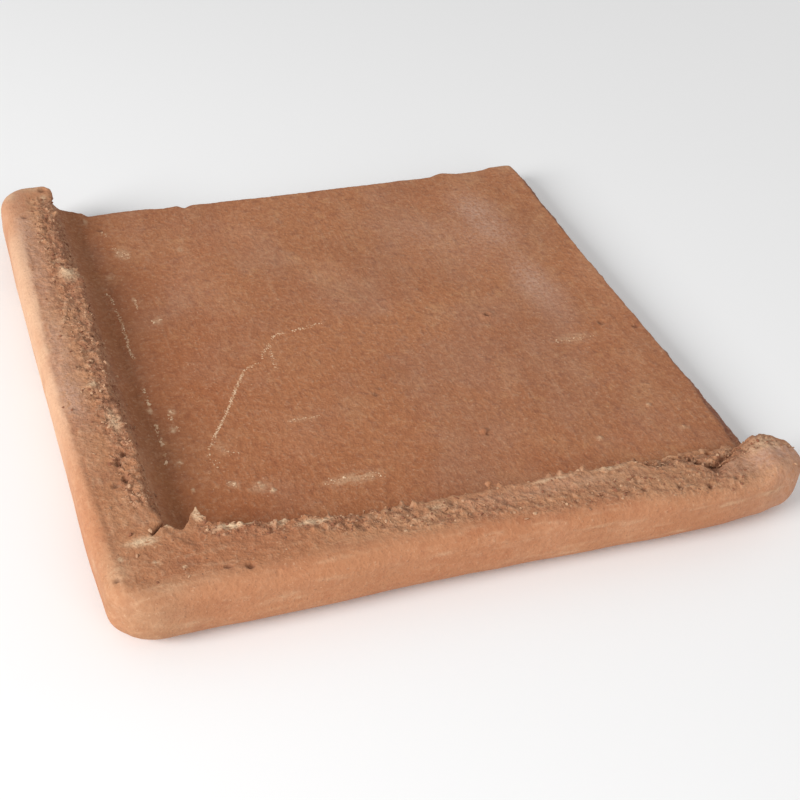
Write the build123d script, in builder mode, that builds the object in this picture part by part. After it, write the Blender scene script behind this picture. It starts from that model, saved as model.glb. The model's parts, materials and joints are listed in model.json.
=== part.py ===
# Corner stair tread tile of fired clay, in millimetres. It is one piece, stored as it lies unheld:
# the walking face is down on z = 0, and the two noses stand up along the front and the left side.
# On a stair it is the other way up, so that the noses hang down over the edges of the step.
import os

from build123d import *

# Clear widths, from the inner face of each nose to the cut edge opposite it: 11 1/2 in both ways
clear_width = 292.1
clear_depth = 292.1

# Slab and noses
slab_thickness = 16.0
nose_height = 32.0  # walking face to crest
nose_thickness = 30.0  # outer face to inner face
nose_overhang = 15.0  # the rounded end of a nose stands this far past the cut edge

# Rounding in section
nose_round = 14.0  # walking face into the outer face of a nose
crest_round = 8.0  # outer face into the crest
inner_round = 2.5  # tighter edge all round the inner face
cove_round = 11.0  # inner face into the underside of the slab
cut_underside_round = 4.0  # cut edges at the underside
cut_walking_round = 3.0  # cut edges at the walking face

# Corners seen from above, each given where its flat face ends and the rounding starts
walking_corner_radius = 7.0  # walking face, where the noses meet
walking_end_radius = 4.0  # walking face, outer side of a nose's end
underside_corner_radius = 9.0  # foot of the coves, where the noses meet
underside_cut_radius = 3.0  # underside, where the two cut edges meet

# Places, with the origin under the middle of the whole tile
outer_x = -(nose_thickness + clear_width + nose_overhang) / 2
outer_y = -(nose_thickness + clear_depth + nose_overhang) / 2
inner_x = outer_x + nose_thickness
inner_y = outer_y + nose_thickness
cut_x = inner_x + clear_width
cut_y = inner_y + clear_depth
end_x = cut_x + nose_overhang
end_y = cut_y + nose_overhang

# The coves stop below the tighter edge of the crest
cove = min(cove_round, 0.7 * (nose_height - slab_thickness))
recess_radius = underside_corner_radius + cove
cut_corner_radius = underside_cut_radius + cut_underside_round


def slab_side(edges):
    """Those of the noses' edges that lie on the side of the slab."""
    return edges.filter_by_position(Axis.X, inner_x - 0.1, end_x + 0.1).filter_by_position(
        Axis.Y, inner_y - 0.1, end_y + 0.1
    )


def cut_side(edges):
    """Those of the slab's edges that bound the cut faces, without the upright ones."""
    return edges.filter_by(Axis.Z, reverse=True).filter_by(
        lambda e: e.center().X > cut_x - cut_corner_radius or e.center().Y > cut_y - cut_corner_radius
    )


with BuildPart() as recess:
    # Clear space over the slab, rounded at the foot of the two noses to leave their coves
    with BuildSketch(Plane.XY.offset(slab_thickness)):
        with BuildLine():
            FilletPolyline(
                (inner_x, inner_y), (end_x, inner_y), (end_x, end_y), (inner_x, end_y),
                radius=[recess_radius, 0, 0, 0],
                close=True,
            )
        make_face()
    extrude(amount=nose_height)
    foot = recess.faces().sort_by(Axis.Z)[0].edges()
    fillet(foot.sort_by(Axis.X)[:-1].sort_by(Axis.Y)[:-1], cove)

with BuildPart() as noses:
    # The two noses as one angle, each end rounder on its outer side
    with BuildSketch():
        with BuildLine():
            FilletPolyline(
                (outer_x, outer_y), (end_x, outer_y), (end_x, inner_y),
                (inner_x, inner_y), (inner_x, end_y), (outer_x, end_y),
                radius=[
                    walking_corner_radius + nose_round, walking_end_radius + nose_round, 0,
                    recess_radius, 0, walking_end_radius + nose_round,
                ],
                close=True,
            )
        make_face()
    extrude(amount=nose_height)

    # Rounded outside, from one end round the corner to the other
    for level, radius in ((0, nose_round), (-1, crest_round)):
        outline = noses.edges().group_by(Axis.Z)[level]
        fillet(outline - slab_side(outline), radius)

    # Tighter edge all round the inner face, which turns the inside corner without a break
    corner_lines = noses.edges().filter_by(Axis.Z).filter_by(
        lambda e: inner_x - 0.1 < e.center().X < cut_x and inner_y - 0.1 < e.center().Y < cut_y
    )
    fillet(slab_side(noses.edges()) - corner_lines, inner_round)

with BuildPart() as corner_tread:
    # Slab from the middle of the noses to the cut edges, first as high as the coves reach
    with BuildSketch():
        with BuildLine():
            FilletPolyline(
                (inner_x - nose_thickness / 2, inner_y - nose_thickness / 2),
                (cut_x, inner_y - nose_thickness / 2),
                (cut_x, cut_y),
                (inner_x - nose_thickness / 2, cut_y),
                radius=[0, 0, cut_corner_radius, 0],
                close=True,
            )
        make_face()
    extrude(amount=slab_thickness + cove)
    add(recess.part, mode=Mode.SUBTRACT)

    # Cut edges, eased at the walking face and along the underside and the ends of the coves
    fillet(cut_side(corner_tread.edges()).group_by(Axis.Z)[0], cut_walking_round)
    underside = cut_side(corner_tread.edges()).filter_by_position(
        Axis.Z, slab_thickness - 0.1, slab_thickness + cove - 0.1
    )
    fillet(underside, cut_underside_round)

    add(noses.part)

os.makedirs("parts", exist_ok=True)
corner_tread.part.label = "corner_tread"
export_step(corner_tread.part, "parts/corner_tread.step")
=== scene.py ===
"""Corner stair tread tile of hand-pressed, unglazed terracotta, lying on its walking face.

Measures are in millimetres from the inside corner of the two noses, on the walking face:
x runs along the front nose, y along the left nose and z up from the floor.
"""
import json
import math
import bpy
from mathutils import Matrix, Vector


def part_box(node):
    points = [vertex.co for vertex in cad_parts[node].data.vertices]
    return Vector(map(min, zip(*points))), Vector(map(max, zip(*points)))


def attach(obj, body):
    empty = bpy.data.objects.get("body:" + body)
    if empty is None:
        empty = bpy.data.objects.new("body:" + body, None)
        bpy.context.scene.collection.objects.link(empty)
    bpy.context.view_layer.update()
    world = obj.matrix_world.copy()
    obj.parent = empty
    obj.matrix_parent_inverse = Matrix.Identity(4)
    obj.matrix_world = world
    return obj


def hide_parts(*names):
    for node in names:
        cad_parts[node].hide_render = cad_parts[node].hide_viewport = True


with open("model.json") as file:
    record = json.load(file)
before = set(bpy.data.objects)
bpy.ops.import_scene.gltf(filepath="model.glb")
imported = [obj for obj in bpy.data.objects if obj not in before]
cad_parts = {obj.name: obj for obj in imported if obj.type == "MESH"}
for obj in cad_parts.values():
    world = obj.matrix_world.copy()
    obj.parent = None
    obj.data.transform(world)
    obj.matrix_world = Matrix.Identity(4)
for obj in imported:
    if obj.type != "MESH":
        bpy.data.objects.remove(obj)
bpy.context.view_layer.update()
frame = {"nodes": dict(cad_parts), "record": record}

from types import SimpleNamespace

import bmesh
import bpy
import numpy as np
from mathutils import Matrix, Vector

bl_info = {
    "name": "Terracotta Corner Tread",
    "version": (1, 0, 0),
    "blender": (4, 5, 0),
    "location": "3D View > Sidebar > Clay Tread",
    "description": "Dresses the corner stair tread tile as hand-pressed, low-fired terracotta",
    "category": "Add Mesh",
}

# Sizes of the tile, in millimetres, from the frame
mounts = {mount["name"]: np.array(mount["pos_m"]) * 1000 for mount in frame["record"]["mounts"]}
clear = 292.1  # inner face of a nose to the cut edge opposite it
overhang = 15.0  # end of a nose past the cut edge
slab = mounts["mortar_bed"][2]
inner = mounts["side_joint"][0] - clear  # both noses' inner faces, in the frame
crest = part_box("corner_tread")[1].z * 1000  # top of both noses


# Helpers


def srgb(code):
    """A hex colour as linear red, green and blue, and full alpha."""
    parts = (int(code[i:i + 2], 16) / 255 for i in (1, 3, 5))
    return (*(c / 12.92 if c <= 0.04045 else ((c + 0.055) / 1.055) ** 2.4 for c in parts), 1.0)


def node(tree, kind, inputs=None, **settings):
    """Adds a node with its settings. Each of its inputs, by name or number, takes a value, a hex
    colour, a socket to link, or a node whose first output is linked."""
    made = tree.nodes.new(kind)
    for key, value in settings.items():
        setattr(made, key, value)
    for key, value in (inputs or {}).items():
        if isinstance(value, bpy.types.Node):
            value = next(socket for socket in value.outputs if socket.enabled)
        if isinstance(value, bpy.types.NodeSocket):
            tree.links.new(value, made.inputs[key])
        elif isinstance(value, str) and value.startswith("#"):
            made.inputs[key].default_value = srgb(value)
        else:
            made.inputs[key].default_value = value
    return made


def new_tree(name, inputs):
    """An empty Geometry Nodes tree with a geometry input and output and the named inputs."""
    tree = bpy.data.node_groups.new(name, "GeometryNodeTree")
    tree.interface.new_socket("Geometry", in_out="INPUT", socket_type="NodeSocketGeometry")
    tree.interface.new_socket("Geometry", in_out="OUTPUT", socket_type="NodeSocketGeometry")
    for label, kind in inputs.items():
        tree.interface.new_socket(label, in_out="INPUT", socket_type="NodeSocket" + kind)
    return tree, tree.nodes.new("NodeGroupInput").outputs


def grow(obj, tree, values):
    """Runs a Geometry Nodes tree on the object and keeps the result as its plain mesh."""
    modifier = obj.modifiers.new(tree.name, "NODES")
    modifier.node_group = tree
    for item in tree.interface.items_tree:
        if item.in_out == "INPUT" and item.name in values:
            modifier[item.identifier] = values[item.name]
    settle(obj)


def settle(obj):
    """Turns the object's modifiers into its plain mesh."""
    depsgraph = bpy.context.evaluated_depsgraph_get()
    old = obj.data
    obj.data = bpy.data.meshes.new_from_object(obj.evaluated_get(depsgraph), depsgraph=depsgraph)
    obj.modifiers.clear()
    bpy.data.meshes.remove(old)


def add_object(name, mesh):
    """Links a new object of the mesh to the scene, at the origin."""
    obj = bpy.data.objects.new(name, mesh)
    bpy.context.scene.collection.objects.link(obj)
    return obj


def line_object(name, lines):
    """An object of open lines through given points, in millimetres from the inside corner."""
    mesh = bpy.data.meshes.new(name)
    points, edges = [], []
    for line in lines:
        start = len(points)
        points += [((x + inner) / 1000, (y + inner) / 1000, z / 1000) for x, y, z in line]
        edges += [(i, i + 1) for i in range(start, len(points) - 1)]
    mesh.from_pydata(points, edges, [])
    return add_object(name, mesh)


def ease(start, end, v):
    """0 up to start, 1 from end, smooth in between."""
    t = np.clip((v - start) / (end - start), 0, 1)
    return t * t * (3 - 2 * t)


def wander(v, points):
    """A listed line's offset at v, from (place, offset) points joined by smooth steps."""
    place, offset = np.array(points, float).T
    i = np.clip(np.searchsorted(place, v) - 1, 0, len(place) - 2)
    return offset[i] + (offset[i + 1] - offset[i]) * ease(place[i], place[i + 1], v)


def to_line(x, y, points):
    """Distance in plan from a line through given points."""
    nearest = np.full(x.shape, 1e9)
    for (ax, ay), (bx, by) in zip(points, points[1:]):
        dx, dy = bx - ax, by - ay
        t = np.clip(((x - ax) * dx + (y - ay) * dy) / (dx * dx + dy * dy), 0, 1)
        nearest = np.minimum(nearest, np.hypot(x - ax - t * dx, y - ay - t * dy))
    return nearest


# Lines of the pressed clay, as (place along the nose or edge, offset)

# Outer faces of the noses
front_face = (
    (-24, 4), (5, 4), (30, 2.9), (65, 2.4), (95, 3), (122, 2.4), (150, 1.6), (190, 0), (232, -1.9),
    (255, -1.9), (277, -0.8), (290, 1.3), (307, 3),
)
left_face = ((-24, -1.2), (30, -2.6), (90, -2), (170, -1.6), (230, -1), (275, 0), (307, 0.5))

# Inner edges of the crests, and the crests' height
front_edge = (
    (40, 2), (75, 0.4), (150, 0.3), (219, 0), (226, -4), (246, -4.2), (256, -6), (266, -6), (276, -2),
    (290, -1), (307, -6),
)
left_edge = (
    (20, -5), (47, -3), (79, -1.4), (116, -2.4), (147, -2), (175, -0.4), (208, 0.8), (223, -2.8),
    (260, -2.6), (285, -1.6), (296, 0.4), (307, 0.8),
)
front_height = (
    (-24, 0), (60, 0.4), (150, 0), (225, -0.3), (255, -1.4), (274, -2), (286, 1.6), (294, 0), (300, -1.8),
    (307, -4.5),
)
left_height = ((-24, 0), (100, 0), (200, 1), (218, 1.2), (255, 0.2), (288, 0.8), (307, -0.4))

# How far out from the inner faces the crests stay torn, before the part that was wiped smooth
front_wiped = (
    (-25, 19), (10, 18.9), (25, 20.6), (50, 19), (70, 17.8), (110, 21), (140, 21.5), (170, 24.5),
    (195, 23.2), (240, 26.5), (275, 28.5),
)
left_wiped = (
    (-25, 20), (12, 21.5), (55, 23.8), (100, 25.2), (150, 25), (183, 23.7), (220, 22.8), (254, 21),
    (290, 16.5), (306, 14),
)

# How far the cut edges stand out, and how wide the right one is worn to a bevel
back_cut = (
    (0, 13), (5, 11.5), (10, 9.5), (15, 6.5), (19, 2), (28, 2.6), (38, 3), (51, 2.8), (64, 1.6), (71, 2),
    (75, -0.8), (80, 1), (104, 1), (124, 0.4), (148, 0.4), (187, 0.8), (232, 0.8), (242, 3.8), (252, 1.4),
    (269, 1.8), (277, 4), (288, 4),
)
right_cut = (
    (4, 1.8), (13, 2.4), (32, 3.4), (52, 3.2), (75, 2), (120, 1), (170, 1), (205, 1.4), (235, 3),
    (266, 3.4), (287, 3),
)
right_bevel = ((0, 8), (40, 6.5), (70, 4), (120, 2.6), (200, 3.2), (235, 5), (292, 4.5))

# Ledge of squeezed-out clay that bridges the inside corner, seen from above
ledge_outline = (
    (-8, 34), (-4.3, 33), (-5.6, 26), (-2.5, 20.5), (0.2, 17.8), (3.4, 14.6), (6.6, 12.8), (9.2, 16),
    (11.6, 20.6), (15.2, 25.2), (16.6, 19.5), (19, 14.4), (24.7, 11.4), (31, 10.2), (39, 7), (49, 4.4),
    (58, 4.6), (70, 2.4), (80, -2), (80, -9), (-8, -9),
)
corner_crack = ((1.5, 19.5), (-1.5, 16.8), (-3.5, 16), (-6.5, 12.6))
notch_crack = (
    (221, -1), (227, -2.4), (238, -0.8), (246, -2), (254, -3.4), (258, -7), (262, -4), (270, -1.4),
    (276, -2),
)

# Where the torn crest is crumbly: a line in plan, half the width, and how crumbly
crumbly_lines = (
    (((20, 12), (45, 5), (75, -2), (100, -6)), 11, 0.9),
    (((95, -10), (130, -12), (165, -15), (200, -18), (235, -20), (262, -21)), 12, 0.6),
    (((150, -3), (225, -3)), 6, 0.35),
    (((225, -1), (250, -4), (278, -4)), 9, 1.0),
    (((283, -5), (304, -9)), 8, 1.0),
    (((-5, 84), (-6, 150), (-7, 200), (-6, 250), (-5, 288)), 13, 0.85),
    (((-4, 36), (-6, 60), (-6, 88)), 9, 1.0),
)

# Single marks of the pressed clay: x, y, radius, and how far they stand up or lie in
dents = (
    (22.5, 275.3, 2.6, -0.9), (55.3, 40.5, 1.6, 0.6), (19, 69.6, 1.2, 0.5), (20.3, 50.3, 1.0, 0.7),
    (28.1, -19.4, 3.0, -1.7), (19.1, -17.1, 2.4, -0.9), (-24.5, -9.5, 2.2, -1.4), (38.5, -26, 2, -0.45),
    (-8.5, 49, 3, -2.2), (-14, 46, 2.2, -1.2), (-10, 60, 3.4, -1.8), (-6, 66, 2.5, -1.5),
    (167.4, 53.1, 2.6, 1.4), (168.6, 50.8, 1.5, -1.2), (208.5, 143.1, 5.0, 1.3), (208.5, 143.1, 2.3, -2.4),
    (221.7, 32.9, 2.0, 0.8), (268.3, 121.4, 3.0, -1.0), (284.8, 113.4, 2.2, -1.2), (125.5, 94.1, 2.4, -0.7),
    (129.1, 98.1, 2.0, -0.6), (258.3, 49.7, 1.8, 0.9), (267.3, 29.3, 2.0, 0.8), (198.3, 36.2, 1.8, 0.6),
    (247, -24, 2.4, -1.5), (232, -21, 2.2, -1.3), (214, -19, 2.0, -1.2), (262, -22, 2.0, -1.0),
    (257, -10, 7, -4.0), (251, -5, 5, -2.5), (263, -9, 4, -3.0), (98, -18, 1.4, 0.8), (-7, 209, 6.5, 1.2),
    (-9, 214, 3.0, 0.8), (-4, 196, 4.0, 0.8), (-19, 272, 2.5, -0.8), (-5, 297, 3.0, -1.4),
    (-9, 302, 1.8, -1.2), (-3, 303, 2.0, -1.2),
)

# Soft pale marks: x, y, half length along x and y, strength
pale_marks = (
    (55.3, 40.5, 2.6, 2.2, 1.5), (51.6, 45.7, 3, 2, 1.1), (21.4, 93.4, 1.6, 3, 1.3), (19, 69.6, 2, 1.8, 1.4),
    (20.3, 50.3, 1, 1.8, 1.7), (16, 283.3, 1.4, 3, 1.0), (14, 110, 1.8, 3, 1.3), (24, 106.6, 2.4, 3, 1.2),
    (18.5, 227.2, 3, 3, 0.8), (61.7, 244.6, 3, 3, 0.7), (26.4, 202.9, 1.5, 4, 1.0),
    (94, 38, 22, 5, 0.6), (84, 85.3, 11, 2, 0.5), (247, 112, 16, 6, 0.45), (34, 181, 4, 4, 0.5),
    (29, 248, 6, 9, 0.6), (-6, 211, 7, 10, 1.0), (-8, 224, 5, 4, 0.4), (-10.5, 118, 4, 3, 1.0),
    (-6, 90, 5, 12, 0.6), (-11, 9, 9, 3.4, 1.0), (3, 17, 6, 3, 0.9), (15, 20, 4, 7, 0.8),
    (28, 8.5, 15, 3, 1.0), (47, 4, 6, 3, 0.9), (40, 75, 5, 8, 0.35), (38.8, 49.2, 4, 3, 0.8),
    (50, 44, 8, 5, 0.5), (287, -8, 20, 8, 0.45), (-12, 300, 10, 6, 0.7), (-24, 295, 5, 7, 0.6),
    (-5, 289, 3, 5, 0.7), (284, 290, 8, 8, 0.4), (221.7, 32.9, 3, 2.5, 0.8), (267.3, 29.3, 3, 2.5, 0.8),
    (258.3, 49.7, 2.5, 2, 0.8), (-29, 150, 8, 9, 0.5), (-24, -6, 5, 7, 0.45), (1.8, -10.3, 1.6, 1.6, 1),
    (-8.5, -4.4, 2.4, 1.6, 0.9), (-20.5, 1.5, 1.6, 2.4, 0.9), (98, -18, 1.6, 1.6, 1),
    (118, -6, 9, 1.4, 0.6), (175, -3, 16, 1.6, 0.6), (206, -2.5, 12, 2, 0.7), (62, 0, 12, 3, 0.8),
)

# Pale marks on the upright faces: place along the nose, height, half length and half height, strength
front_marks = (
    (42, 20.5, 7, 2.2, 0.45), (23.6, 24, 1.3, 1.3, 0.9), (112, 25, 9, 1.6, 0.5), (135, 29, 9, 1.8, 0.35),
    (257, 22, 14, 1.8, 0.5), (232, 10, 7, 2, 0.5), (280, 22, 12, 2.5, 0.5), (188, 24, 20, 1.4, 0.3),
    (59, 25, 12, 1.6, 0.3), (0, 14, 16, 3, 0.3), (150, 12, 30, 1.4, 0.15),
)
left_marks = (
    (129, 22, 6, 5, 0.9), (184, 18, 20, 4, 0.5), (105, 16, 8, 4, 0.4), (58, 14, 10, 4, 0.4),
    (10, 22, 7, 5, 0.5),
)

# Broad greyish haze: x, y, half length along x and y, strength
haze_marks = (
    (246, 235, 24, 54, 1.0), (249, 165, 20, 60, 0.8), (-20, 240, 9, 95, 1.0), (-21, 130, 9, 90, 1.0),
    (292, -16, 50, 14, 1.1), (300, -28, 60, 14, 0.6), (225, 220, 60, 55, 0.5), (170, -8, 60, 8, 0.45),
    (60, 205, 30, 50, 0.25),
)


# The clay body

# Each noise field: size of its lumps in millimetres, detail, and how far it is drawn out each way
fields = {
    "swell": (70, 1.0, (1, 1, 1)),
    "lump": (13, 3.0, (1, 1, 1)),
    "knob": (5.5, 2.0, (1, 1, 1)),
    "grit": (2.6, 2.0, (1, 1, 1)),
    "patch": (34, 3.0, (1, 1, 1)),
    "fleck": (6, 3.0, (1, 1, 1)),
    "drag": (1.7, 2.0, (1, 8, 1)),
    "wipe": (2.2, 2.0, (9, 1, 1)),
}
cells = {"crumb": 3.4, "pit": 6.5}  # sizes of the cell fields, in millimetres
full_turn = 6.28  # in radians, the widest random turn


def finish_tree(tree, shape, material):
    """Ends a tree in plain geometry of one material."""
    solid = node(tree, "GeometryNodeRealizeInstances", {0: shape})
    done = node(tree, "GeometryNodeSetMaterial", {0: solid, "Material": material})
    node(tree, "NodeGroupOutput", {0: done})
    return tree


def field_tree():
    """Stores each noise and cell field as an attribute of the mesh."""
    tree, given = new_tree("Clay Fields", {"Seed": "Float", "Material": "Material"})
    place = node(tree, "GeometryNodeInputPosition")
    patterns = {}
    for name, (size, detail, drawn) in fields.items():
        scale = tuple(1000 / (size * d) for d in drawn)
        where = node(tree, "ShaderNodeVectorMath", {0: place, 1: scale}, operation="MULTIPLY")
        patterns[name] = node(
            tree, "ShaderNodeTexNoise",
            {"Vector": where, "W": given["Seed"], "Scale": 1.0, "Detail": detail, "Roughness": 0.55},
            noise_dimensions="4D",
        )
    for name, size in cells.items():
        patterns[name] = node(
            tree, "ShaderNodeTexVoronoi", {"Vector": place, "W": given["Seed"], "Scale": 1000 / size},
            voronoi_dimensions="4D",
        )
    mesh = given["Geometry"]
    for name, pattern in patterns.items():
        mesh = node(
            tree, "GeometryNodeStoreNamedAttribute", {"Geometry": mesh, "Name": name, "Value": pattern},
            data_type="FLOAT", domain="POINT",
        )
    return finish_tree(tree, mesh, given["Material"])


def ledge_mesh():
    """The ledge as a plate whose underside slopes back to the cove."""
    bm = bmesh.new()
    rings = []
    corner_x, corner_y = ledge_outline[-1]
    levels = ((crest - 0.7, 0.0), (crest - 2.6, 0.0), (crest - 9, 7.0), (slab - 3, 12.0))
    for z, pull in levels:
        ring = []
        for x, y in ledge_outline:
            reach = max(math.hypot(x - corner_x, y - corner_y), 1)
            back = min(pull, 0.7 * reach) / reach
            at = (x - (x - corner_x) * back + inner, y - (y - corner_y) * back + inner, z)
            ring.append(bm.verts.new([c / 1000 for c in at]))
        rings.append(ring)
    bm.faces.new(rings[0])
    bm.faces.new(reversed(rings[-1]))
    for above, below in zip(rings, rings[1:]):
        for i in range(len(above)):
            j = (i + 1) % len(above)
            bm.faces.new((above[i], below[i], below[j], above[j]))
    bmesh.ops.recalc_face_normals(bm, faces=bm.faces)
    mesh = bpy.data.meshes.new("ledge")
    bm.to_mesh(mesh)
    bm.free()
    return mesh


def strewn_points(tree, given):
    """Points spaced along the lines, each shifted at random by as much as the spread."""
    curve = node(tree, "GeometryNodeMeshToCurve", {0: given["Geometry"]})
    points = node(tree, "GeometryNodeCurveToPoints", {0: curve, "Length": given["Spacing"]}, mode="LENGTH")
    back = node(tree, "ShaderNodeVectorMath", {0: given["Spread"], "Scale": -1.0}, operation="SCALE")
    shift = node(
        tree, "FunctionNodeRandomValue", {0: back, 1: given["Spread"], "Seed": given["Seed"]},
        data_type="FLOAT_VECTOR",
    )
    return node(tree, "GeometryNodeSetPosition", {0: points, "Offset": shift})


def lumps_on(tree, given, points, shape, tilt, bias, rounds, kept=True):
    """A lump on each point that is kept, tilted by as much as the tilt and turned any way round. The
    higher the bias, the more of them are small; the more rounds, the smoother they are."""
    share = node(tree, "FunctionNodeRandomValue", {2: 0.0, 3: 1.0, "Seed": given["Seed"]})
    mostly_small = node(tree, "ShaderNodeMath", {0: share, 1: bias}, operation="POWER")
    size = node(tree, "ShaderNodeMapRange", {0: mostly_small, 3: given["Smallest"], 4: given["Largest"]})
    scale = node(tree, "ShaderNodeVectorMath", {0: shape, "Scale": size}, operation="SCALE")
    turn = node(
        tree, "FunctionNodeRandomValue", {0: (0, 0, 0), 1: (tilt, tilt, full_turn), "Seed": given["Seed"]},
        data_type="FLOAT_VECTOR",
    )
    ball = node(tree, "GeometryNodeMeshIcoSphere", {"Radius": 1.0, "Subdivisions": rounds})
    return node(tree, "GeometryNodeInstanceOnPoints", {
        "Points": points, "Selection": kept, "Instance": ball, "Rotation": turn, "Scale": scale,
    })


def crumb_tree():
    """Strews lumps along lines, each turned and sized at random."""
    tree, given = new_tree("Lumps Along Lines", {
        "Spacing": "Float", "Spread": "Vector", "Smallest": "Float", "Largest": "Float",
        "Flatness": "Float", "Seed": "Int", "Material": "Material",
    })
    shape = node(tree, "ShaderNodeCombineXYZ", {0: 1.0, 1: 0.8, 2: given["Flatness"]})
    lumps = lumps_on(tree, given, strewn_points(tree, given), shape, tilt=full_turn, bias=2.5, rounds=2)
    return finish_tree(tree, lumps, given["Material"])


def crest_lumps(seed):
    """Lumps of torn clay along both crests and heaped in the notch at the right end, before they are
    pressed into one skin with the tile."""
    top = crest - 0.9
    rows = line_object("crest_lumps", [
        [(22, 9, top), (45, 4, top), (75, 0, top), (222, -1, top), (240, -2, top), (274, -4, top)],
        [(60, -4, top), (110, -7, top), (150, -9, top)],
        [(110, -12, top), (170, -16, top), (258, -20, top)],
        [(-4, 40, top), (-3, 150, top), (-2, 290, top)],
        [(-8, 90, top), (-9, 200, top), (-8, 280, top)],
    ])
    tree = crumb_tree()
    grow(rows, tree, {
        "Spacing": 0.0036, "Spread": (0.0024, 0.0028, 0.0006), "Smallest": 0.0007, "Largest": 0.0024,
        "Flatness": 0.7, "Seed": seed,
    })
    heap = line_object("notch_lumps", [
        [(228, 0, slab + 11), (240, 0.5, slab + 11), (256, 0, slab + 10), (270, 1, slab + 10)],
        [(234, 2, slab + 7), (246, 3, slab + 6), (258, 2, slab + 7), (268, 3, slab + 6), (278, 2, slab + 6)],
        [(242, 6, slab + 3), (262, 6, slab + 3), (274, 4, slab + 4), (288, 1, slab + 4)],
    ])
    grow(heap, tree, {
        "Spacing": 0.0016, "Spread": (0.002, 0.0018, 0.0016), "Smallest": 0.0010, "Largest": 0.0036,
        "Flatness": 0.75, "Seed": seed + 1,
    })
    return rows, heap


def one_skin(settings):
    """The tile, its ledge and the crest's lumps as one closed skin of even squares."""
    bm = bmesh.new()
    bm.from_mesh(frame["nodes"]["corner_tread"].data)
    bmesh.ops.remove_doubles(bm, verts=bm.verts, dist=1e-6)
    bm.from_mesh(ledge_mesh())
    for lumps in crest_lumps(settings.seed):
        bm.from_mesh(lumps.data)
        bpy.data.objects.remove(lumps)
    mesh = bpy.data.meshes.new("clay_tread")
    bm.to_mesh(mesh)
    bm.free()
    tread = add_object("clay_tread", mesh)
    skin = tread.modifiers.new("One skin", "REMESH")
    skin.mode = "VOXEL"
    skin.voxel_size = settings.skin
    settle(tread)
    return tread


def read(mesh, name):
    """The values of an attribute at the mesh's points."""
    values = np.empty(len(mesh.vertices), np.float32)
    mesh.attributes[name].data.foreach_get("value", values)
    return values


def store(mesh, name, values):
    """Keeps values from 0 to 1 as an attribute, for the material to read."""
    attribute = mesh.attributes.new(name, "FLOAT", "POINT")
    attribute.data.foreach_set("value", np.clip(values, 0, 1).astype(np.float32))


def spots(x, y, marks, core):
    """Soft oval marks, each at its full strength out to the core, as a share of its size."""
    shown = np.zeros(len(x))
    for mx, my, rx, ry, strength in marks:
        shown = np.maximum(shown, strength * (1 - ease(core, 1, np.hypot((x - mx) / rx, (y - my) / ry))))
    return shown


def surfaces(x, y, z, out, noise):
    """Where each kind of surface lies, from 0 to 1, and the distances in millimetres that tell. Each
    ease runs between two places in millimetres, or two slants of the surface's own direction."""
    on = SimpleNamespace()
    on.front = ease(-3, 3, x - y)
    on.depth = np.maximum(-x, -y)  # into a nose from its inner face
    on.wiped = wander(x, front_wiped) * on.front + wander(y, left_wiped) * (1 - on.front)
    on.high_up = ease(slab + 1.5, slab + 6, z)

    # Torn from the inner edge to the wiped part, less so at the ends of the noses
    soft = 1.5 + 3.5 * np.maximum(on.front, 1 - ease(-10, 60, y))
    torn = on.high_up * (1 - ease(-soft, soft, on.depth - on.wiped + (2 + 2 * on.front) * noise["fleck"]))
    on.torn = torn * (1 - 0.85 * ease(286, 293, y + 4 * noise["fleck"])) * (1 - 0.4 * ease(288, 298, x))

    # The mortar side with its coves, and the cut edges, the right one with its worn bevel
    bed = ease(-2, 2, -on.depth) * (1 - on.high_up) * ease(0.2, 0.6, out[:, 2])
    # The coves below the noses' inner faces take a darker tint, as painted shade
    on.cove = ease(-15, -10, on.depth) * bed
    on.worn = x - clear + wander(y, right_bevel) + 0.9 * noise["fleck"]
    by_right = ease(clear - 6, clear - 2, x) * ease(-1, 1, y)
    by_back = ease(clear - 6, clear - 2, y) * ease(-1, 1, x)
    cut = np.maximum(by_right, by_back) * (1 - ease(0.85, 0.99, out[:, 2] + 0.08 * noise["fleck"]))
    on.cut = np.maximum(cut, ease(-0.4, 0.8, on.worn) * ease(-3, 0, y) * (1 - on.high_up)) * ease(1, 4, z)
    on.bed = bed * (1 - on.cut)

    # The walking face, and the faces that are neither torn, sandy nor cut
    on.walking = ease(0.6, 0.9, -out[:, 2])
    on.face = np.clip(1 - on.torn - on.bed - on.cut, 0, 1)
    crumbly = np.zeros(len(x))
    for points, half, strength in crumbly_lines:
        crumbly = np.maximum(crumbly, strength * (1 - ease(0.35 * half, half, to_line(x, y, points))))
    on.crumbly = on.torn * np.clip(crumbly * (1 + 0.8 * noise["patch"] + 0.5 * noise["fleck"]), 0.06, 1)
    return on


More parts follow.
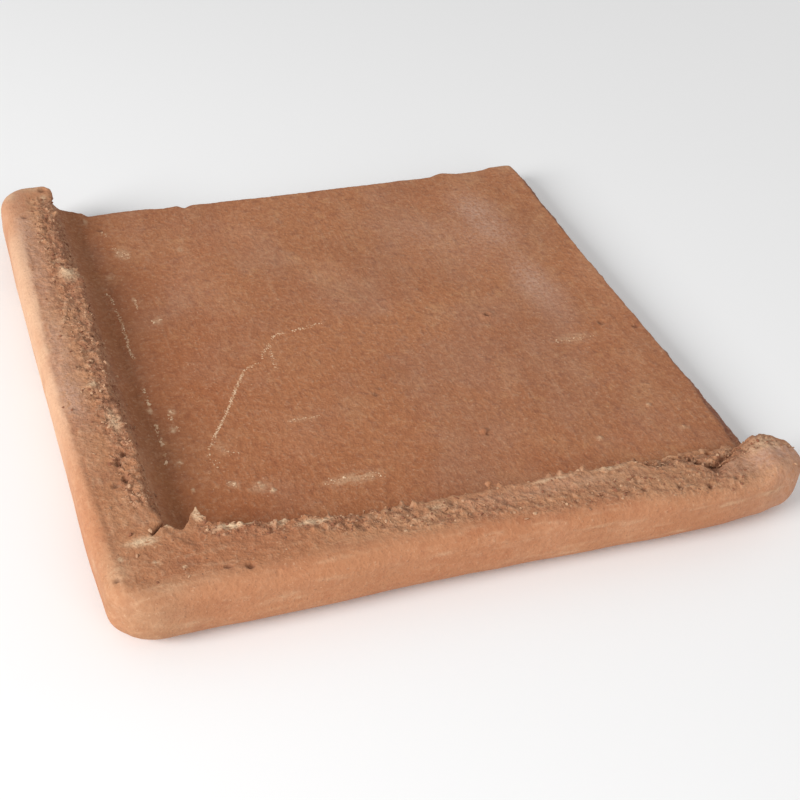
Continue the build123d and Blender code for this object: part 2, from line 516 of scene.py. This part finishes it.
def shape_relief(on, x, y, out, noise, cell):
    """Sets the relief's height along the surface's own direction, in millimetres, and where it is
    streaked, where its hollows take painted shade and where its raised tops take painted highlight."""
    on.streak = noise["wipe"] * on.front + noise["drag"] * (1 - on.front)
    pits = ease(0.42, 0.15, cell["pit"]) * ease(-0.2, 0.4, noise["patch"] + 0.4 * noise["fleck"])
    dented = (0.5 + 0.5 * on.front) * (0.5 * noise["swell"] + 0.25 * noise["lump"])
    coarse = 0.9 * noise["lump"] + 0.5 * noise["knob"] + 0.25 * noise["grit"] + 0.3 * on.streak - 0.3
    fine = 1.1 * (0.45 - cell["crumb"]) + 0.9 * noise["knob"] + 1.5 * noise["grit"] - 1.5 * pits
    sandy = 0.4 * noise["swell"] + 0.16 * noise["lump"] + 0.12 * noise["drag"] + 0.07 * noise["grit"]
    on.height = (
        on.face * (1 - on.walking) * (dented + 0.05 * noise["grit"] + 0.14 * on.streak)
        + on.walking * 0.25 * noise["swell"]
        + on.torn * coarse
        + on.crumbly * fine
        + on.cut * (1.3 * noise["lump"] + 1.0 * noise["knob"] + 0.5 * noise["grit"] - 0.6)
        + on.bed * sandy
    )

    # A groove along the left crest's wiped part, the cracks, and single marks
    by_line = (on.depth - on.wiped + 0.8 + 1.5 * noise["fleck"] + 3 * noise["lump"]) / 1.4
    groove = on.high_up * ease(0.15, 0.6, out[:, 2]) * np.exp(-(by_line**2))
    groove = groove * (1 - on.front) * (1 - 0.7 * ease(120, 190, y))
    crack = on.high_up * (1 - ease(0.3, 1.1, to_line(x, y, corner_crack)))
    gap = on.high_up * (1 - ease(0.5, 1.7, to_line(x, y + 0.9 * noise["knob"], notch_crack)))
    on.height -= 0.25 * groove + 2.6 * crack + 2.8 * gap
    holes = np.zeros(len(x))
    for mx, my, radius, rise in dents:
        mark = (1 - ease(0.25, 1, np.hypot(x - mx, y - my) / radius)) * ease(0, 0.3, out[:, 2])
        on.height += rise * mark
        holes = np.maximum(holes, mark * (rise < -0.5))
    # Pits, cracks, the groove and the dents, which are darker as painted shade
    on.hollow = on.crumbly * ease(-0.3, -1.5, fine) + 0.2 * groove + crack + 0.6 * gap + 0.7 * holes
    # The raised tops of the torn clay, which are paler as painted highlight
    on.raised = on.torn * ease(0.2, 1.2, fine + 0.5 * noise["lump"]) * (0.3 + 0.7 * on.crumbly)


def move_faces(at, on, x, y, z, noise):
    """Moves the outer faces, the crests and the cut edges off their straight lines."""
    at[:, 1] += ease(8, 22, -y) * wander(x, front_face)
    at[:, 0] += ease(8, 22, -x) * wander(y, left_face)

    # Ragged inner edges of the crests, and their height
    edge = ease(slab + 6, crest - 4, z)
    rag = 1.2 * noise["lump"] + 0.8 * noise["knob"]
    by_front = edge * on.front * (1 - ease(4, 14, np.abs(y))) * ease(30, 50, x)
    by_left = edge * (1 - on.front) * (1 - ease(4, 14, np.abs(x))) * ease(20, 34, y)
    at[:, 1] += by_front * (wander(x, front_edge) + rag)
    at[:, 0] += by_left * (wander(y, left_edge) + rag * (1 + 0.9 * (1 - ease(60, 100, y))))
    rise = wander(x, front_height) * on.front + wander(y, left_height) * (1 - on.front)
    at[:, 2] += ease(crest - 9, crest - 3, z) * rise

    # The slab's cut edges, which fade out along the ends of the noses, and a longer left nose
    inside = ease(-6, -1, -on.depth) * (1 - ease(slab + 5, slab + 13, z))
    past_back, past_right = (1 - np.clip((v - clear) / overhang, 0, 1) for v in (y, x))
    at[:, 1] += inside * ease(clear - 14, clear - 3, y) * past_back * wander(x, back_cut)
    at[:, 0] += inside * ease(clear - 14, clear - 3, x) * past_right * wander(y, right_cut)
    left_longer = 2.5
    at[:, 1] += (1 - on.front) * ease(clear - 12, clear + 10, y) * ease(1, 4, on.depth) * left_longer

    # The walking face stays flat on the floor
    at[:, 2] = np.maximum(at[:, 2], 0)


def shown_parts(on, x, y, z, out, noise):
    """How much each part of the clay that a tint goes by shows, from 0 to 1."""
    pale = spots(x, y, pale_marks, 0.2)
    pale = np.maximum(pale, spots(x, z, front_marks, 0.2) * (out[:, 1] < -0.3))
    pale = np.maximum(pale, spots(y, z, left_marks, 0.2) * (out[:, 0] < -0.3))
    pale = pale * ease(-0.8, 0.15, noise["fleck"])
    upright = on.face * (1 - on.walking)
    pressed = (on.face + on.torn) * (1 - on.walking)
    by_left_face = ease(14, 24, -x) * (1 - on.front) * ease(20, 140, y) * (1 - 0.3 * ease(220, 300, y))
    return {
        "torn": on.torn,
        "bed": on.bed,
        "cut": on.cut,
        "cove": on.cove,
        "crumbly": on.crumbly,
        "hollow": on.hollow,
        "raised": on.raised,
        "pale": pale * (1 - on.walking) * (1 - 0.4 * on.bed - 0.35 * on.face),
        "shade": on.torn * (1 - on.front) * ease(-14, -6, x) * ease(60, 100, y) * (1 - ease(280, 295, y)),
        "furrow": upright * ease(0, -0.45, on.streak) * ease(-0.3, 0.4, noise["lump"]),
        "streak": pressed * ease(0, 0.45, on.streak) * ease(-0.5, 0.4, noise["patch"]),
        "haze": spots(x, y, haze_marks, 0) * ease(-0.8, 0.4, noise["patch"]),
        # Darker and more orange towards the inside corner: on the mortar side partly painted shade of the
        # noses and partly a warmer clay, on the crests a warmer clay
        "warm_and_shaded": on.bed * (1 - ease(30, 260, x + 0.5 * y)) + on.torn * (1 - ease(20, 150, np.hypot(x, y))),
        # The left outer face is paler and whiter: partly a paler slip, partly painted light for the strong
        # light that falls on that side
        "chalky": upright * by_left_face,
        "dull": pressed * (1 - ease(4, 60, np.hypot(x + 30, y + 30))),
    }


def press(tread):
    """Gives the skin the wander, tears and grain of hand-pressed clay, and stores what the clay shows."""
    mesh = tread.data
    flat = np.empty(len(mesh.vertices) * 3, np.float32)
    mesh.vertices.foreach_get("co", flat)
    at = flat.reshape(-1, 3).astype(float) * 1000 - (inner, inner, 0)
    mesh.vertex_normals.foreach_get("vector", flat)
    out = flat.reshape(-1, 3).astype(float)
    noise = {name: read(mesh, name) * 2 - 1 for name in fields}
    cell = {name: read(mesh, name) for name in cells}

    # The relief and the worn bevel come first, and then the wander of the faces
    x, y, z = at.T.copy()
    on = surfaces(x, y, z, out, noise)
    shape_relief(on, x, y, out, noise, cell)
    at += out * on.height[:, None]
    worn_down = 0.4 * np.maximum(on.worn, 0) * ease(-3, 0, y) * (1 - on.high_up)
    at[:, 2] -= worn_down * ease(slab - 6, slab - 2, z)
    x, y, z = at.T.copy()
    move_faces(at, on, x, y, z, noise)
    mesh.vertices.foreach_set("co", ((at + (inner, inner, 0)) / 1000).astype(np.float32).ravel())
    mesh.update()
    for name in (*fields, *cells):
        mesh.attributes.remove(mesh.attributes[name])
    for name, values in shown_parts(on, x, y, z, out, noise).items():
        store(mesh, name, values)


def drop_crumbs(mesh):
    """Keeps the largest island of faces, without lumps and slivers that don't touch it."""
    bm = bmesh.new()
    bm.from_mesh(mesh)
    loose, islands = set(bm.verts), []
    while loose:
        island, edge = set(), {loose.pop()}
        while edge:
            island |= edge
            edge = {link.other_vert(vert) for vert in edge for link in vert.link_edges} - island
        loose -= island
        islands.append(island)
    islands.sort(key=len)
    bmesh.ops.delete(bm, geom=[vert for island in islands[:-1] for vert in island], context="VERTS")
    bm.to_mesh(mesh)
    bm.free()


def thin_out(tread, most):
    """Fewer triangles where the surface is even, so that the tears keep theirs."""
    triangles = sum(len(polygon.vertices) - 2 for polygon in tread.data.polygons)
    if triangles > most:
        fewer = tread.modifiers.new("Fewer", "DECIMATE")
        fewer.ratio = most / triangles
        settle(tread)


# Each tint of the clay: colour, the part of the surface that takes it, size of its patches in
# millimetres, how far they are drawn out, where the noise starts and ends it, and its strength
clay_tints = (
    ("#a9653f", "", 45, (1, 1, 1), 0.42, 0.72, 0.35),
    ("#cf9b76", "", 22, (2, 2, 1), 0.52, 0.78, 0.35),
    ("#a05a38", "", 7, (1, 1, 1), 0.5, 0.75, 0.25),
    # Paler, whiter left outer face: partly a paler slip, partly painted light from the left
    ("#e0bb9a", "chalky", 34, (1, 1.6, 1), 0.1, 0.62, 0.62),
    ("#93795b", "dull", 26, (1, 1, 1), 0.1, 0.6, 0.35),
    ("#98603f", "bed", 60, (1, 1, 1), 0.42, 0.68, 0.45),
    ("#ba8963", "bed", 20, (1, 1.6, 1), 0.5, 0.75, 0.4),
    ("#8a5236", "bed", 1.6, (1, 3, 1), 0.5, 0.72, 0.3),
    ("#8f5a3c", "bed", 2.6, (1, 14, 1), 0.55, 0.76, 0.3),
    ("#bf906c", "bed", 3.4, (1, 12, 1), 0.57, 0.78, 0.3),
    ("#7f4a33", "bed", 5, (1, 1, 1), 0.53, 0.72, 0.4),
    ("#c58f62", "bed", 8, (1, 1, 1), 0.56, 0.74, 0.4),
    ("#a8795f", "bed", 34, (1, 1, 1), 0.45, 0.7, 0.35),
    # Darker and more orange towards the inside corner: partly painted shade of the noses on the mortar side,
    # partly a warmer clay
    ("#9a5327", "warm_and_shaded", 40, (1, 1, 1), 0.1, 0.7, 0.6),
    # Painted shade in the coves below the noses' inner faces
    ("#96603a", "cove", 30, (1, 1, 1), 0.1, 0.5, 0.5),
    ("#8f5c42", "torn", 9, (1, 1, 1), 0.5, 0.75, 0.4),
    ("#a66c4b", "torn", 24, (1, 1, 1), 0.5, 0.7, 0.4),
    ("#8c5a40", "crumbly", 6, (1, 1, 1), 0.35, 0.6, 0.4),
    ("#7f4c36", "shade", 5, (1, 1, 1), 0.3, 0.62, 0.4),
    ("#dcb48f", "streak", 9, (1, 1, 1), 0.3, 0.65, 0.45),
    ("#9c6344", "furrow", 9, (1, 1, 1), 0.3, 0.65, 0.4),
    # Painted highlight on the raised tops of the torn clay
    ("#d0a985", "raised", 2.4, (1, 1, 1), 0.38, 0.62, 0.8),
    ("#c39c87", "haze", 2, (1, 1, 1), 0.15, 0.7, 0.9),
    ("#e3c39e", "pale", 1.3, (3, 1, 1), 0.26, 0.56, 1.0),
    # Painted shade in the pits, cracks, groove and dents
    ("#5f3826", "hollow", 4, (1, 1, 1), 0.1, 0.5, 0.75),
    ("#6b3f2b", "", 1.1, (1, 1, 1), 0.58, 0.72, 0.35),
    ("#e0bd9c", "", 1.2, (1, 1, 1), 0.63, 0.74, 0.25),
)


def clay_material(settings):
    """Low-fired terracotta, unglazed: pressed in a mould, wiped by hand on the noses and left
    sandy below. It gives a dry, matt surface with hardly any shine, mottled from paler slip."""
    clay = bpy.data.materials.new("unglazed_terracotta_hand_pressed")
    clay.use_nodes = True
    tree = clay.node_tree
    tree.nodes.clear()
    place = node(tree, "ShaderNodeTexCoord").outputs["Object"]
    part = {
        name: node(tree, "ShaderNodeAttribute", attribute_name=name).outputs["Fac"]
        for name in ("bed", "torn", "cut", "crumbly", *(tint[1] for tint in clay_tints if tint[1]))
    }

    # Sand in the clay, as heights in millimetres. It is drawn at about 2.4 mm and 1.1 mm, coarser than
    # most of it is, because finer grains don't show from here. On the mortar side it is dragged along
    # y into furrows of about 1.3 by 9 mm
    height = 0.0
    for size, tall in ((2.4, 0.8), (1.1, 0.5)):
        grain = node(tree, "ShaderNodeTexNoise", {"Vector": place, "Scale": 1000 / size, "Detail": 2.0})
        height = node(tree, "ShaderNodeMath", {0: grain, 1: tall, 2: height}, operation="MULTIPLY_ADD")
    furrows = (770.0, 110.0, 770.0)  # to a metre, along each axis
    dragged = node(tree, "ShaderNodeVectorMath", {0: place, 1: furrows}, operation="MULTIPLY")
    drag = node(tree, "ShaderNodeTexNoise", {"Vector": dragged, "Scale": 1.0, "Detail": 2.0})
    drag = node(tree, "ShaderNodeMath", {0: drag, 1: 0.5}, operation="SUBTRACT")
    drag = node(tree, "ShaderNodeMath", {0: drag, 1: part["bed"]}, operation="MULTIPLY")
    height = node(tree, "ShaderNodeMath", {0: drag, 1: 0.22, 2: height}, operation="MULTIPLY_ADD")

    # The wiped faces are the smoothest
    coarse = 0.48
    for name, more in (("bed", 0.25), ("torn", 0.28), ("cut", 0.8), ("crumbly", 0.75)):
        coarse = node(tree, "ShaderNodeMath", {0: part[name], 1: more, 2: coarse}, operation="MULTIPLY_ADD")

    colour = settings.face_colour[:]
    regions = (("bed", settings.bed_colour), ("torn", settings.torn_colour), ("cut", settings.cut_colour))
    for name, other in regions:
        colour = node(tree, "ShaderNodeMix", {0: part[name], 6: colour, 7: other[:]}, data_type="RGBA")
    for tint, name, size, drawn, start, end, strength in clay_tints:
        scale = tuple(1000 / (size * d) for d in drawn)
        where = node(tree, "ShaderNodeVectorMath", {0: place, 1: scale}, operation="MULTIPLY")
        pattern = node(tree, "ShaderNodeTexNoise", {"Vector": where, "Scale": 1.0, "Detail": 3.0})
        share = node(
            tree, "ShaderNodeMapRange", {0: pattern, 1: start, 2: end, 4: strength},
            interpolation_type="SMOOTHSTEP",
        )
        if name:
            share = node(tree, "ShaderNodeMath", {0: share, 1: part[name]}, operation="MULTIPLY")
        colour = node(tree, "ShaderNodeMix", {0: share, 6: colour, 7: tint}, data_type="RGBA")

    # The low places between the grains are darker, as painted shade, and their tops paler, as painted
    # highlight
    for tint, start, end, strength in (("#6e3f2a", 0.68, 0.42, 0.25), ("#dfbd9c", 0.64, 0.95, 0.24)):
        share = node(tree, "ShaderNodeMapRange", {0: height, 1: start, 2: end, 4: strength})
        share = node(tree, "ShaderNodeMath", {0: share, 1: coarse}, operation="MULTIPLY")
        colour = node(tree, "ShaderNodeMix", {0: share, 6: colour, 7: tint}, data_type="RGBA")
    height = node(tree, "ShaderNodeMath", {0: height, 1: coarse}, operation="MULTIPLY")
    bump = node(tree, "ShaderNodeBump", {"Height": height, "Distance": 0.001})
    dryness = node(tree, "ShaderNodeTexNoise", {"Vector": place, "Scale": 1000 / 12})
    roughness = node(tree, "ShaderNodeMapRange", {0: dryness, 1: 0.3, 2: 0.7, 3: 0.82, 4: 0.95})
    shader = node(
        tree, "ShaderNodeBsdfPrincipled",
        {"Base Color": colour, "Normal": bump, "Roughness": roughness, "IOR": 1.5},
    )
    node(tree, "ShaderNodeOutputMaterial", {0: shader})
    return clay


# Loose grit and lime specks

tone_seed = 7  # which crumbs are paler
speck_drop = 0.05  # metres that a speck may fall on to the clay
gaps_to_a_metre = 110.0  # bare gaps in a stroke of specks


def grit_tree():
    """Strews crumbs over a surface, as many as its crumbly attribute says, half sunk in it."""
    tree, given = new_tree("Grit On Torn Clay", {
        "Density": "Float", "Smallest": "Float", "Largest": "Float", "Seed": "Int", "Material": "Material",
    })
    crumbly = node(tree, "GeometryNodeInputNamedAttribute", {"Name": "crumbly"}, data_type="FLOAT")
    dense = node(tree, "ShaderNodeMath", {0: crumbly, 1: given["Density"]}, operation="MULTIPLY")
    points = node(
        tree, "GeometryNodeDistributePointsOnFaces",
        {"Mesh": given["Geometry"], "Density": dense, "Seed": given["Seed"]},
    )
    shape = node(
        tree, "FunctionNodeRandomValue", {0: (0.7, 0.7, 0.3), 1: (1.5, 1.1, 0.6), "Seed": given["Seed"]},
        data_type="FLOAT_VECTOR",
    )
    crumbs = lumps_on(tree, given, points, shape, tilt=0.8, bias=3.0, rounds=1)
    tone = node(tree, "FunctionNodeRandomValue", {2: 0.0, 3: 1.0, "Seed": tone_seed})
    toned = node(
        tree, "GeometryNodeStoreNamedAttribute", {"Geometry": crumbs, "Name": "tone", "Value": tone},
        data_type="FLOAT", domain="INSTANCE",
    )
    return finish_tree(tree, toned, given["Material"])


def speck_tree():
    """Drops flat specks along lines on to the surface below, with bare gaps between them."""
    tree, given = new_tree("Specks Along Lines", {
        "Surface": "Object", "Spacing": "Float", "Spread": "Vector", "Smallest": "Float", "Largest": "Float",
        "Bare": "Float", "Seed": "Int", "Material": "Material",
    })
    strewn = strewn_points(tree, given)
    surface = node(tree, "GeometryNodeObjectInfo", {0: given["Surface"]}, transform_space="RELATIVE")
    hit = node(tree, "GeometryNodeRaycast", {
        "Target Geometry": surface.outputs["Geometry"], "Ray Direction": (0, 0, -1), "Ray Length": speck_drop,
    })
    dropped = node(tree, "GeometryNodeSetPosition", {0: strewn, "Position": hit.outputs["Hit Position"]})
    gaps = node(tree, "ShaderNodeTexNoise", {"Scale": gaps_to_a_metre, "Detail": 1.0})
    kept = node(tree, "FunctionNodeCompare", {0: gaps, 1: given["Bare"]}, operation="GREATER_THAN")
    shape = node(
        tree, "FunctionNodeRandomValue", {0: (0.7, 0.7, 0.35), 1: (1.5, 1.2, 0.5), "Seed": given["Seed"]},
        data_type="FLOAT_VECTOR",
    )
    specks = lumps_on(tree, given, dropped, shape, tilt=0.3, bias=2.0, rounds=1, kept=kept)
    return finish_tree(tree, specks, given["Material"])


# Strokes of lime specks: points in plan, spacing, spread, smallest and largest radius, bare share
speck_strokes = (
    (((33, 74.5), (37, 79), (40, 85), (48.6, 98), (60, 118), (67, 130), (75, 133.5), (85, 147.5), (88, 153),
      (96, 155), (108, 156), (117, 158.5)), 0.35, 1.0, 0.16, 0.6, 0.4),
    (((40, 85), (48.6, 98), (60, 118), (67, 130)), 0.3, 0.5, 0.16, 0.5, 0.38),
    (((85, 147.5), (83.3, 137.4), (83, 126)), 0.5, 1.0, 0.15, 0.5, 0.42),
    (((33, 74.5), (35.6, 63.6)), 0.6, 1.6, 0.2, 0.8, 0.42),
    (((40.6, 71.7), (47, 69)), 0.7, 1.6, 0.2, 0.6, 0.42),
    (((13.2, 213), (15.2, 204), (14.9, 196), (16, 186), (15.2, 176), (15.3, 166), (14.4, 161), (15.5, 152)),
     0.3, 0.8, 0.2, 0.6, 0.4),
    (((14.6, 128), (14.3, 109), (13.9, 88), (12.5, 70)), 0.35, 0.8, 0.25, 0.9, 0.46),
    (((26.6, 204), (26.3, 195)), 0.5, 0.7, 0.2, 0.6, 0.4),
    (((24.2, 107), (22, 100), (23.7, 93)), 0.6, 1.6, 0.25, 0.8, 0.4),
    (((76, 85.4), (93, 85)), 0.6, 0.8, 0.2, 0.5, 0.4),
    (((47, 46), (56, 40)), 0.7, 2.5, 0.25, 0.9, 0.42),
    (((37, 50), (41, 48)), 0.5, 1.5, 0.3, 0.8, 0.35),
    (((234, 111), (258, 109)), 1.0, 2.5, 0.25, 0.6, 0.42),
    (((80, 39), (108, 37)), 0.5, 2.2, 0.2, 0.6, 0.42),
    (((32, 181), (36, 181)), 0.5, 1.5, 0.3, 0.8, 0.35),
    (((26, 255), (33, 241)), 0.6, 1.8, 0.2, 0.7, 0.42),
    (((22.5, 275), (24, 268)), 0.6, 1.2, 0.2, 0.6, 0.4),
)


def lime_material():
    """Lime and salt that bloomed out of the clay as it dried: a chalky buff, duller than paint."""
    lime = bpy.data.materials.new("lime_bloom_dried")
    lime.use_nodes = True
    tree = lime.node_tree
    tree.nodes.clear()
    place = node(tree, "ShaderNodeTexCoord").outputs["Object"]
    patch = node(tree, "ShaderNodeTexNoise", {"Vector": place, "Scale": 1000 / 4, "Detail": 2.0})
    share = node(tree, "ShaderNodeMapRange", {0: patch, 1: 0.35, 2: 0.65})
    colour = node(tree, "ShaderNodeMix", {0: share, 6: "#bb8d68", 7: "#e2c3a2"}, data_type="RGBA")
    shader = node(tree, "ShaderNodeBsdfPrincipled", {"Base Color": colour, "Roughness": 0.95, "IOR": 1.5})
    node(tree, "ShaderNodeOutputMaterial", {0: shader})
    return lime


def grit_material():
    """Crumbs of the same terracotta, torn off before firing: each a little paler or darker."""
    grit = bpy.data.materials.new("terracotta_grit_crumbled")
    grit.use_nodes = True
    tree = grit.node_tree
    tree.nodes.clear()
    tone = node(tree, "ShaderNodeAttribute", attribute_name="tone").outputs["Fac"]
    share = node(tree, "ShaderNodeMapRange", {0: tone, 1: 0.3, 2: 1.0})
    colour = node(tree, "ShaderNodeMix", {0: share, 6: "#8c5a40", 7: "#c79e7c"}, data_type="RGBA")
    shader = node(tree, "ShaderNodeBsdfPrincipled", {"Base Color": colour, "Roughness": 0.92, "IOR": 1.5})
    node(tree, "ShaderNodeOutputMaterial", {0: shader})
    return grit


# The floor, the lights and the camera


def add_floor(half):
    """A flat floor of matt white paper, which takes a soft shadow and gives no shine."""
    mesh = bpy.data.meshes.new("floor")
    corners = [(-half, -half, 0), (half, -half, 0), (half, half, 0), (-half, half, 0)]
    mesh.from_pydata(corners, [], [(0, 1, 2, 3)])
    floor = add_object("floor", mesh)
    paper = bpy.data.materials.new("matt_white_paper")
    paper.use_nodes = True
    shader = paper.node_tree.nodes["Principled BSDF"]
    shader.inputs["Base Color"].default_value = srgb("#f6f6f6")
    shader.inputs["Roughness"].default_value = 0.9
    shader.inputs["Specular IOR Level"].default_value = 0.1
    mesh.materials.append(paper)


def add_lights(settings):
    """Three soft lights that face the tile, each with its place, size and power, and even room light."""
    scene = bpy.context.scene
    for name, at, size, power in (
        ("key", (-1.7, -0.5, 0.9), 0.9, settings.key),
        ("fill", (0.1, -1.9, 0.8), 1.5, settings.fill),
        ("side", (1.7, 0.5, 0.6), 1.2, settings.side),
    ):
        lamp = bpy.data.lights.new(name, "AREA")
        lamp.energy = power
        lamp.size = size
        light = bpy.data.objects.new(name, lamp)
        light.location = at
        light.rotation_euler = (-Vector(at)).to_track_quat("-Z", "Y").to_euler()
        scene.collection.objects.link(light)
    world = bpy.data.worlds.new("studio")
    world.use_nodes = True
    world.node_tree.nodes["Background"].inputs[0].default_value = (1, 1, 1, 1)
    world.node_tree.nodes["Background"].inputs[1].default_value = settings.sky
    scene.world = world
    scene.view_settings.view_transform = "Standard"


def add_camera():
    """The photo's camera, solved from the four edges that the two clear widths lie between."""
    azimuth, elevation, roll = (math.radians(angle) for angle in (-24.83, 39.072, -6.311))
    target = Vector((135.05 + inner, 85.35 + inner, slab + 1)) / 1000
    distance = 0.68036  # metres from the target
    focal_px = 1355.5
    picture_px = 800  # the photo's width
    sensor = 36  # millimetres
    back = Vector((
        math.sin(azimuth) * math.cos(elevation),
        -math.cos(azimuth) * math.cos(elevation),
        math.sin(elevation),
    ))
    right = (-back).cross(Vector((0, 0, 1))).normalized()
    down = (-back).cross(right)
    across = math.cos(roll) * right + math.sin(roll) * down
    above = math.sin(roll) * right - math.cos(roll) * down
    lens = bpy.data.cameras.new("camera")
    lens.sensor_width = sensor
    lens.lens = sensor * focal_px / picture_px
    lens.clip_end = 20
    camera = bpy.data.objects.new("camera", lens)
    camera.matrix_world = Matrix((across, above, back)).transposed().to_4x4()
    camera.location = target + back * distance
    scene = bpy.context.scene
    scene.collection.objects.link(camera)
    scene.camera = camera


# Settings and operators


class TreadSettings(bpy.types.PropertyGroup):
    skin: bpy.props.FloatProperty(
        name="Skin", description="Size of the squares of the clay's skin", default=0.0008, unit="LENGTH",
    )
    seed: bpy.props.IntProperty(name="Seed", description="Which of the possible clay surfaces", default=3)
    most: bpy.props.IntProperty(name="Triangles", description="Most triangles of the tile", default=190000)
    face_colour: bpy.props.FloatVectorProperty(
        name="Faces", description="Colour of the wiped faces", default=srgb("#b97e58"),
        size=4, subtype="COLOR",
    )
    bed_colour: bpy.props.FloatVectorProperty(
        name="Mortar side", description="Colour of the sandy underside", default=srgb("#ae7149"),
        size=4, subtype="COLOR",
    )
    torn_colour: bpy.props.FloatVectorProperty(
        name="Crests", description="Colour of the torn crests", default=srgb("#ba8660"),
        size=4, subtype="COLOR",
    )
    cut_colour: bpy.props.FloatVectorProperty(
        name="Cut edges", description="Colour of the cut edges", default=srgb("#86523a"),
        size=4, subtype="COLOR",
    )


class GritSettings(bpy.types.PropertyGroup):
    density: bpy.props.FloatProperty(
        name="Crumbs", description="Crumbs on a square metre of the most crumbly clay", default=220000,
    )
    smallest: bpy.props.FloatProperty(
        name="Smallest", description="Radius of the smallest crumbs", default=0.00025, unit="LENGTH",
    )
    largest: bpy.props.FloatProperty(
        name="Largest", description="Radius of the largest crumbs", default=0.0011, unit="LENGTH",
    )
    seed: bpy.props.IntProperty(name="Seed", description="Where the crumbs lie", default=5)


class StageSettings(bpy.types.PropertyGroup):
    floor: bpy.props.FloatProperty(name="Floor", description="Width of the floor", default=6.0, unit="LENGTH")
    key: bpy.props.FloatProperty(
        name="Key light", description="Power of the soft light on the left", default=36,
    )
    fill: bpy.props.FloatProperty(
        name="Fill light", description="Power of the light by the camera", default=10,
    )
    side: bpy.props.FloatProperty(
        name="Side light", description="Power of the light on the right", default=5,
    )
    sky: bpy.props.FloatProperty(
        name="Room light", description="Strength of the light all round", default=0.46,
    )


class TREAD_OT_body(bpy.types.Operator):
    """Makes the clay tile and lets it stand for the CAD tile"""

    bl_idname = "tread.body"
    bl_label = "Clay tile"

    def execute(self, context):
        settings = context.scene.tread
        tread = one_skin(settings)
        grow(tread, field_tree(), {"Seed": float(settings.seed), "Material": clay_material(settings)})
        press(tread)
        thin_out(tread, settings.most)
        drop_crumbs(tread.data)
        tread.data.shade_smooth()
        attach(tread, "root")
        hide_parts("corner_tread")
        return {"FINISHED"}


class TREAD_OT_grit(bpy.types.Operator):
    """Strews loose crumbs over the torn crests"""

    bl_idname = "tread.grit"
    bl_label = "Loose grit"

    def execute(self, context):
        settings = context.scene.tread_grit
        grit = add_object("loose_grit", bpy.data.objects["clay_tread"].data.copy())
        grow(grit, grit_tree(), {
            "Density": settings.density, "Smallest": settings.smallest, "Largest": settings.largest,
            "Seed": settings.seed, "Material": grit_material(),
        })
        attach(grit, "root")
        return {"FINISHED"}


class TREAD_OT_specks(bpy.types.Operator):
    """Drops the lime specks and scratches on to the mortar side"""

    bl_idname = "tread.specks"
    bl_label = "Lime specks"

    def execute(self, context):
        tree, lime = speck_tree(), lime_material()
        bm = bmesh.new()
        for seed, (points, spacing, spread, smallest, largest, bare) in enumerate(speck_strokes):
            stroke = line_object("stroke", [[(x, y, crest + 5) for x, y in points]])
            grow(stroke, tree, {
                "Surface": bpy.data.objects["clay_tread"], "Spacing": spacing / 1000,
                "Spread": (spread / 1000, spread / 1000, 0.0), "Smallest": smallest / 1000,
                "Largest": largest / 1000, "Bare": bare, "Seed": seed, "Material": lime,
            })
            bm.from_mesh(stroke.data)
            bpy.data.objects.remove(stroke)
        mesh = bpy.data.meshes.new("lime_specks")
        bm.to_mesh(mesh)
        bm.free()
        mesh.materials.append(lime)
        specks = add_object("lime_specks", mesh)
        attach(specks, "root")
        return {"FINISHED"}


class TREAD_OT_stage(bpy.types.Operator):
    """Makes the floor, the lights and the camera"""

    bl_idname = "tread.stage"
    bl_label = "Stage"

    def execute(self, context):
        settings = context.scene.tread_stage
        add_floor(settings.floor / 2)
        add_lights(settings)
        add_camera()
        return {"FINISHED"}


class TREAD_PT_panel(bpy.types.Panel):
    bl_label = "Clay Tread"
    bl_space_type = "VIEW_3D"
    bl_region_type = "UI"
    bl_category = "Clay Tread"

    def draw(self, context):
        scene = context.scene
        for settings, operators in (
            (scene.tread, (TREAD_OT_body,)),
            (scene.tread_grit, (TREAD_OT_grit, TREAD_OT_specks)),
            (scene.tread_stage, (TREAD_OT_stage,)),
        ):
            box = self.layout.box()
            for name in settings.__annotations__:
                box.prop(settings, name)
            for operator in operators:
                box.operator(operator.bl_idname)


classes = (
    TreadSettings, GritSettings, StageSettings, TREAD_OT_body, TREAD_OT_grit, TREAD_OT_specks, TREAD_OT_stage,
    TREAD_PT_panel,
)


def register():
    for cls in classes:
        bpy.utils.register_class(cls)
    bpy.types.Scene.tread = bpy.props.PointerProperty(type=TreadSettings)
    bpy.types.Scene.tread_grit = bpy.props.PointerProperty(type=GritSettings)
    bpy.types.Scene.tread_stage = bpy.props.PointerProperty(type=StageSettings)


def unregister():
    del bpy.types.Scene.tread_stage
    del bpy.types.Scene.tread_grit
    del bpy.types.Scene.tread
    for cls in reversed(classes):
        bpy.utils.unregister_class(cls)


def main():
    """Builds the tile and the stage through the operators."""
    register()
    bpy.ops.tread.body()
    bpy.ops.tread.grit()
    bpy.ops.tread.specks()
    bpy.ops.tread.stage()


if __name__ == "__main__":
    main()
